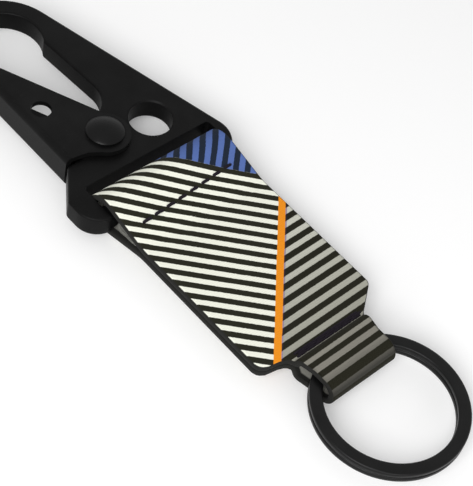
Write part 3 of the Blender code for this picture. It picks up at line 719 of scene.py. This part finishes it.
cream = cloth.mixed(length.ramp(*CREAM_FADES), CREAM_AT_HOOK, CREAM_AT_NECK)
lean_field = cloth.mixed(lean_dark, cream, LEAN_BLACK)
blue_field = cloth.mixed(blue_dark, BLUE, NAVY)
grey_face = cloth.mixed(length.ramp(*GREY_FADES), GREY_AT_BAND, GREY_AT_SHOULDER)
grey_neck = cloth.mixed(length.ramp(*NECK_FADES), grey_face, GREY_AT_NECK)
# Towards the fold the grey darkens into painted shade.
grey_with_fold_shade = cloth.mixed(length.ramp(*FOLD_SHADE_FADES), grey_neck, GREY_WITH_FOLD_SHADE)
cross_field = cloth.mixed(cross_dark, grey_with_fold_shade, CROSS_BLACK)
shade_line = cloth.mixed(cross_dark, SHADE_PALE, SHADE_DARK)

before_band = cloth.mixed(leaning.ramp(*BLUE_STARTS), lean_field, blue_field)
with_band = cloth.mixed(band_way.ramp(*BAND_STARTS), before_band, ORANGE)
with_shade = cloth.mixed(band_way.ramp(*BAND_ENDS), with_band, shade_line)
printed = cloth.mixed(band_way.ramp(*SHADE_ENDS), with_shade, cross_field)
print("print nodes:", len(cloth.tree.nodes))

# %% Weave, back and edge
WEFT_MM = 0.42
WARP_MM = 0.55
FUZZ = srgb(120, 118, 108)
BACK_DARK, BACK_PALE = srgb(118, 117, 110), srgb(158, 157, 149)
EDGE = srgb(34, 34, 32)
EDGE_ON_FACE, EDGE_BEHIND = (0.30, 0.20), (1.4, 1.1)
weft = length.wave(WEFT_MM)
warp = across.wave(WARP_MM)
weave = weft * 0.5 + warp * weft * 0.5
fluff = cloth.noise(flat, 6.0, 3.0)
toned = cloth.mixed((fluff - 0.42).ramp(0.0, 0.6) * 0.08, printed, FUZZ)
back = cloth.mixed(fluff, BACK_DARK, BACK_PALE)
on_face = depth_wire.ramp(0.2, 0.3)
face_or_back = cloth.mixed(on_face, back, toned)
edge_dark = rim_wire.ramp(*EDGE_ON_FACE).at_least(rim_wire.ramp(*EDGE_BEHIND) * (1.0 - on_face))
cloth.shade("Base Color", cloth.mixed(edge_dark, face_or_back, EDGE))
cloth.shade("Roughness", 0.78 + fluff * 0.14)
cloth.bump(weave * 0.5 + fluff * 0.8, 0.045 * MM)
webbing.data.materials.clear()
webbing.data.materials.append(cloth.material)
bpy.ops.object.shade_smooth_by_angle(angle=math.radians(50))
webbing.select_set(False)
print("webbing finish nodes:", len(cloth.tree.nodes))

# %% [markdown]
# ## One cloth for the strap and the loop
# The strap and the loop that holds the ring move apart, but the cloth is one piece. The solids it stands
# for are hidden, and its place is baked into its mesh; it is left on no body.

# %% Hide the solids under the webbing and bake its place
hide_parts("strap", "ring_loop")
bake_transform(webbing)

# %% [markdown]
# ## The folded end between the layers
# The cut ends of the webbing are turned in and sewn between the two layers beside the bar, where they
# show at the strap's left side as a folded edge. It is one thin strip laid round a sharp fold, with its
# two legs running out to nothing between the layers.

# %% Path of the folded tail
TAIL_PLY = 0.85 * MM  # thickness at the fold
TAIL_CLEAR = 0.42 * MM  # room to the layer above
TAIL_FROM_BAR = 2.95 * MM
TAIL_HALF_WIDTH = 14.9 * MM
LEG_TIP = Vector((-10.9 * MM, 0.30 * MM))
LEG_MIDDLE = Vector((-9.4 * MM, 0.55 * MM))
LEG_BEFORE_FOLD = 1.6 * MM
LEG_DROP = 0.30 * MM
slope = math.tan(FLARE)
tail_room = leave_bar.y - (WEBBING / 2 + TAIL_CLEAR) / flare_way.x
near_y = BAR_Y - TAIL_FROM_BAR
fold_round = (tail_room - (leave_bar.x - near_y) * slope) / (1 + slope) - TAIL_PLY / 2
fold_y = near_y - fold_round
tail_path = [LEG_TIP, LEG_MIDDLE, Vector((fold_y - LEG_BEFORE_FOLD, fold_round - LEG_DROP))]
tail_path += arc_points((fold_y, 0), fold_round, 90, -90, 10)
tail_path += [Vector((point.x, -point.y)) for point in reversed(tail_path[:3])]
print("tail folds round, mm:", round(fold_round / MM, 3))

# %% Roll the tail
FULL_PLY = 0.85
THINNING = [0.4, 0.6, FULL_PLY]
tail_turns = path_turns(tail_path)
tail_edges = [(-TAIL_HALF_WIDTH, TAIL_HALF_WIDTH)] * len(tail_path)
plies = THINNING + [FULL_PLY] * (len(tail_path) - 2 * len(THINNING)) + THINNING[::-1]
tail_section = flat_section(1.0, 0.2, 8, 2)
tail_sections = []
for ply in plies:
    tail_sections.append([(share, offset * MM, height * ply * MM) for share, offset, height in tail_section])


def tail_place(row, corner):
    return strip_place(tail_sections[row], tail_path, tail_turns, tail_edges)(row, corner)


tail = rolled("folded_tail", len(tail_path), tail_place, len(tail_section), True)
bpy.ops.object.shade_smooth_by_angle(angle=math.radians(50))

# %% Plain webbing finish
tail_cloth = Finish("plain_webbing", {"Specular IOR Level": 0.15})
tail_spot = tail_cloth.place_mm()
tail_fluff = tail_cloth.noise(tail_spot, 2.2, 3.0)
tail_weft = tail_cloth.part_of(tail_spot, 1).wave(WEFT_MM)
tail_cloth.shade("Base Color", tail_cloth.mixed(tail_fluff, srgb(62, 62, 58), srgb(126, 126, 120)))
tail_cloth.shade("Roughness", 0.8 + tail_fluff * 0.12)
tail_cloth.bump(tail_weft * 0.3 + tail_fluff, 0.04 * MM)
tail.data.materials.append(tail_cloth.material)
tail.select_set(False)
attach(tail, "strap")
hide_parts("strap_tail")
print("tail:", [round(side / MM, 2) for side in tail.dimensions])

# %% [markdown]
# ## The stitches
# Two rows of heavy dark thread hold the strap. The one beside the bar is eight stitches that lean a little
# off square. The one at the neck is sewn over three times, in lines so close that they read as one bar. A
# stitch is a short length of thread that rises out of the cloth, runs along it and dives back in. One
# stitch is modelled, copied along its lines and joined, and the row is repeated under the strap.

# %% One stitch
STITCH_SIDES = 8
# Along as a share of the run, height as a share of the thread, and tilt in degrees.
STITCH_SHAPE = [(-0.5, -0.9, 60), (-0.47, -0.3, 42), (-0.36, 0.0, 10), (0.0, 0.12, 0)]
STITCH_SHAPE += [(-x, z, -tilt) for x, z, tilt in reversed(STITCH_SHAPE[:-1])]


def one_stitch(name, run, thread):
    """A thread that dips at both ends, along X, its middle at the origin."""

    def place_of(row, corner):
        x, z, tilt = STITCH_SHAPE[row]
        turn = 2 * math.pi * corner / STITCH_SIDES
        out = thread / 2 * math.sin(turn)
        lean = math.radians(tilt)
        return x * run - out * math.sin(lean), thread / 2 * math.cos(turn), z * thread + out * math.cos(lean)

    piece = rolled(name, len(STITCH_SHAPE), place_of, STITCH_SIDES, True)
    bpy.ops.object.shade_smooth()
    piece.select_set(False)
    return piece


print("rows in a stitch:", len(STITCH_SHAPE))

# %% Thread finish
TWIST_MM = 0.28
thread_cloth = Finish("dark_thread_finish", {"Specular IOR Level": 0.12})
thread_place = thread_cloth.place_mm()
twist = (thread_cloth.part_of(thread_place, 0) + thread_cloth.part_of(thread_place, 1) * 1.4).wave(TWIST_MM)
thread_noise = thread_cloth.noise(thread_place, 4.0, 2.0)
thread_cloth.shade("Base Color", thread_cloth.mixed(thread_noise, srgb(14, 11, 16), srgb(33, 27, 36)))
thread_cloth.shade("Roughness", 0.6 + thread_noise * 0.2)
thread_cloth.bump(twist * 0.5 + thread_noise * 0.4, 0.03 * MM)
print("thread finish:", thread_cloth.material.name)


# %% A row of stitches
def stitch_row(name, node, z, lines, run, thread, pitch, count, lean, tilt):
    """Copies of one stitch along each line (x, y), at height z, joined. tilt turns the row in plan."""
    model = one_stitch(name, run, thread)
    copies = []
    for line, number in [(line, number) for line in lines for number in range(count)]:
        piece = model.copy()
        piece.data = model.data.copy()
        scene.collection.objects.link(piece)
        piece.rotation_euler = (lean if z > 0 else math.pi - lean, 0, 0)
        x = line[0] + (number - (count - 1) / 2) * pitch
        rise = math.copysign(x * tilt * math.tan(lean), z)
        piece.location = MIDDLE + Vector((x, line[1] + x * tilt, z + rise))
        copies.append(piece)
    bpy.data.objects.remove(model)
    for piece in copies:
        piece.select_set(True)
    bpy.context.view_layer.objects.active = copies[0]
    bpy.ops.object.join()
    joined = bpy.context.object
    joined.name = name
    bpy.ops.object.transform_apply(location=True, rotation=True, scale=True)
    joined.data.materials.clear()
    joined.data.materials.append(thread_cloth.material)
    joined.select_set(False)
    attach(joined, "strap")
    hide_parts(node)
    print(name, "vertices:", len(joined.data.vertices))


# %% Sew the four rows
HOOK_SEAM_Y = -8.3 * MM
HOOK_LINES = [(0.0, HOOK_SEAM_Y)]
NECK_LINES = [(0.2 * MM, -47.45 * MM), (0.9 * MM, -47.85 * MM), (0.3 * MM, -48.25 * MM)]
HOOK_ROW = {"run": 1.7 * MM, "thread": 0.66 * MM, "pitch": 3.11 * MM, "count": 8, "lean": FLARE, "tilt": 0.07}
NECK_ROW = {"run": 2.5 * MM, "thread": 0.55 * MM, "pitch": 2.3 * MM, "count": 7, "lean": 0.0, "tilt": 0.0}
flare_z = leave_bar.y - (leave_bar.x - HOOK_SEAM_Y) * math.tan(FLARE)
hook_seam_z = flare_z + WEBBING / 2 / flare_way.x
neck_seam_z = LAYER_HEIGHT + WEBBING / 2
stitch_row("hook_stitches", "seam_hook_needle", hook_seam_z, HOOK_LINES, **HOOK_ROW)
stitch_row("hook_stitches_back", "seam_hook_bobbin", -hook_seam_z, HOOK_LINES, **HOOK_ROW)
stitch_row("neck_stitches", "seam_ring_needle", neck_seam_z, NECK_LINES, **NECK_ROW)
stitch_row("neck_stitches_back", "seam_ring_bobbin", -neck_seam_z, NECK_LINES, **NECK_ROW)

# %% [markdown]
# ## The split ring
# The ring is one flat wire wound nearly twice round, its two coils pressed together, with a short step
# where one climbs over the other. Its section is carried round the ring's middle in small turns, and the
# step is made by lifting the rows there. Step and ends lie inside the loop, since the photo shows neither.

# %% Wind the ring
RING_RADIUS = 15.0 * MM
RING_WALL = 2.5 * MM
COIL = 1.30 * MM
COIL_GAP = 0.06 * MM
WIRE_ROUNDING = 0.42 * MM
RING_ROWS = 230
RING_START = 105.0  # all four in degrees
RING_SWEEP = 690.0
STEP_START = 330.0
STEP_SWEEP = 30.0
ring_low, ring_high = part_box("split_ring")
ring_middle = Vector(((ring_low.x + ring_high.x) / 2, (ring_low.y + ring_high.y) / 2, MIDDLE.z))
ring_section = flat_section(COIL, WIRE_ROUNDING, 3)


def coil_height(swept):
    """Height of the wire's middle after turning through swept degrees."""
    share = min(max((swept - STEP_START) / STEP_SWEEP, 0), 1)
    return (COIL + COIL_GAP) * (share * share * (3 - 2 * share) - 0.5)


def ring_place(row, corner):
    share, offset, height = ring_section[corner]
    swept = RING_SWEEP * row / RING_ROWS
    turn = math.radians(RING_START + swept)
    radius = RING_RADIUS - RING_WALL / 2 + share * RING_WALL / 2 + offset
    z = MIDDLE.z + (height + coil_height(swept))
    return ring_middle.x + radius * math.cos(turn), ring_middle.y + radius * math.sin(turn), z


ring = rolled("ring_coils", RING_ROWS + 1, ring_place, len(ring_section), True)
bpy.ops.object.shade_smooth_by_angle(angle=math.radians(40))
ring.data.materials.append(ring_finish)
ring.select_set(False)
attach(ring, "ring")
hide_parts("split_ring")
print("ring:", [round(side / MM, 2) for side in ring.dimensions])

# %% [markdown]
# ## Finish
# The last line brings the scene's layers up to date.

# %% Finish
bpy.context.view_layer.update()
